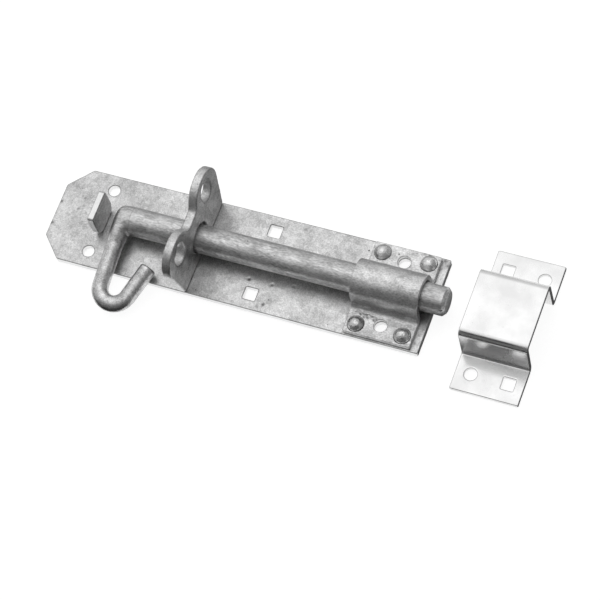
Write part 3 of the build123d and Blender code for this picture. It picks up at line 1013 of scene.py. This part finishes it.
along_y = profile_level(cloth_tree, cloth_axes["Y"], near_to_far)
level = calc(cloth_tree, "MULTIPLY", along_y, profile_level(cloth_tree, cloth_axes["X"], left_to_right))
glow = put(cloth_tree, "ShaderNodeEmission", {"Strength": level})
cloth_tree.links.new(glow.outputs[0], cloth_tree.nodes["Material Output"].inputs["Surface"])
dome_mesh.materials.append(cloth)
print("light dome:", len(dome_quads), "faces,", dome_r, "m in radius")


# %% [markdown]
# The floor is white paper: a matt surface that takes the object's shadow, mixed with a glow for what the
# camera and the metal see of it. The sides in the photograph don't show white paper but something darker,
# so dark cards lie on the floor on the near side and to the right, and a grey one on the far side, as they
# do on a photographer's table. A small dark flag hangs over the near side of the keeper, whose near wall
# shows its own foot and in it whatever is above. Only reflections see them.

# %% Floor and cards
def flat_sheet(name, low, high, z):
    """A level rectangle between two corners, on stage only."""
    mesh = bpy.data.meshes.new(name)
    corners = [(low[0], low[1]), (high[0], low[1]), (high[0], high[1]), (low[0], high[1])]
    mesh.from_pydata([(*corner, z) for corner in corners], [], [(0, 1, 2, 3)])
    sheet = bpy.data.objects.new(name, mesh)
    scene.collection.objects.link(sheet)
    return sheet


def matt_paint(name, grey):
    """A matt material without any shine, its node tree and its shader."""
    paint, tree, shader = new_material(name)
    shader.inputs["Base Color"].default_value = (grey, grey, grey, 1)
    shader.inputs["Roughness"].default_value = 0.9
    shader.inputs["Specular IOR Level"].default_value = 0.0
    return paint, tree, shader


def card(name, low, high, grey, z=-0.1 * mm):
    """A matt card that is seen in reflections only."""
    sheet = flat_sheet(name, low, high, z)
    sheet.visible_camera = False
    sheet.visible_diffuse = False
    sheet.visible_shadow = False
    sheet.data.materials.append(matt_paint(name, grey)[0])


floor = flat_sheet("floor", (-6.0, -6.0), (6.0, 6.0), -0.2 * mm)
card_gap = 25 * mm
card("near_card", (-0.6, -1.2), (keeper_high[0], plate_low[1] - card_gap), 0.06)
card("middle_card", (plate_high[0], plate_low[1]), (keeper_low[0], plate_high[1]), 0.18)
card("right_card", (keeper_high[0], -1.2), (0.8, 1.2), 0.15)
flag_height = 80 * mm
card("keeper_flag", (108 * mm, -110 * mm), (152 * mm, -52 * mm), 0.03, flag_height)
card("far_card", (-0.6, plate_high[1]), (plate_high[0], 1.2), 0.5)
paper, paper_tree, matt = matt_paint("white_paper", 0.9)
rays = put(paper_tree, "ShaderNodeLightPath").outputs
mirrored = calc(paper_tree, "MAXIMUM", rays["Is Glossy Ray"], rays["Is Transmission Ray"])
seen = calc(paper_tree, "MAXIMUM", rays["Is Camera Ray"], mirrored)
paper_glow, glow_share = 1.25, 0.7
white = put(paper_tree, "ShaderNodeEmission", {"Strength": paper_glow})
both = put(paper_tree, "ShaderNodeMixShader", {0: calc(paper_tree, "MULTIPLY", seen, glow_share)})
paper_tree.links.new(matt.outputs[0], both.inputs[1])
paper_tree.links.new(white.outputs[0], both.inputs[2])
paper_tree.links.new(both.outputs[0], paper_tree.nodes["Material Output"].inputs["Surface"])
floor.data.materials.append(paper)
print("glow of the floor as the camera sees it:", paper_glow * glow_share)


# %% [markdown]
# One large soft lamp above and behind adds a little sparkle and soft shadows that fall towards the viewer.

# %% Key lamp
from mathutils import Matrix, Vector

key_place = Vector((-0.06, 0.41, 1.05))
key_watts = 0.3
key_size = 0.7
key = bpy.data.objects.new("key_lamp", bpy.data.lights.new("key_lamp", "AREA"))
key.data.energy = key_watts
key.data.size = key_size
key.location = key_place
key.rotation_euler = (-key_place).to_track_quat("-Z", "Y").to_euler()
scene.collection.objects.link(key)
print("key lamp:", key_watts, "W,", key_size, "m wide")


# %% [markdown]
# The photograph was taken from above and well to the right of the middle, with a long lens. The camera
# looks along a direction that was found by fitting the plate's corners, holes and the bar to their places
# in the picture, and it is turned a little about that direction.

# %% Camera
camera_place = Vector((427.4, -480.8, 1160.8)) * mm
camera_view = Vector((-0.2962, 0.3562, -0.8862)).normalized()
camera_roll = math.radians(-21.68)
camera_lens = 145.6
camera = bpy.data.objects.new("camera", bpy.data.cameras.new("camera"))
camera.data.lens = camera_lens
camera.data.sensor_width = 36.0
camera.data.clip_start = 0.05
camera.data.clip_end = 30.0
level_right = camera_view.cross(Vector((0, 0, 1))).normalized()
level_up = level_right.cross(camera_view)
right = level_right * math.cos(camera_roll) + level_up * math.sin(camera_roll)
turned_axes = Matrix((right, right.cross(camera_view), -camera_view)).transposed()
camera.location = camera_place
camera.rotation_euler = turned_axes.to_euler()
scene.collection.objects.link(camera)
scene.camera = camera
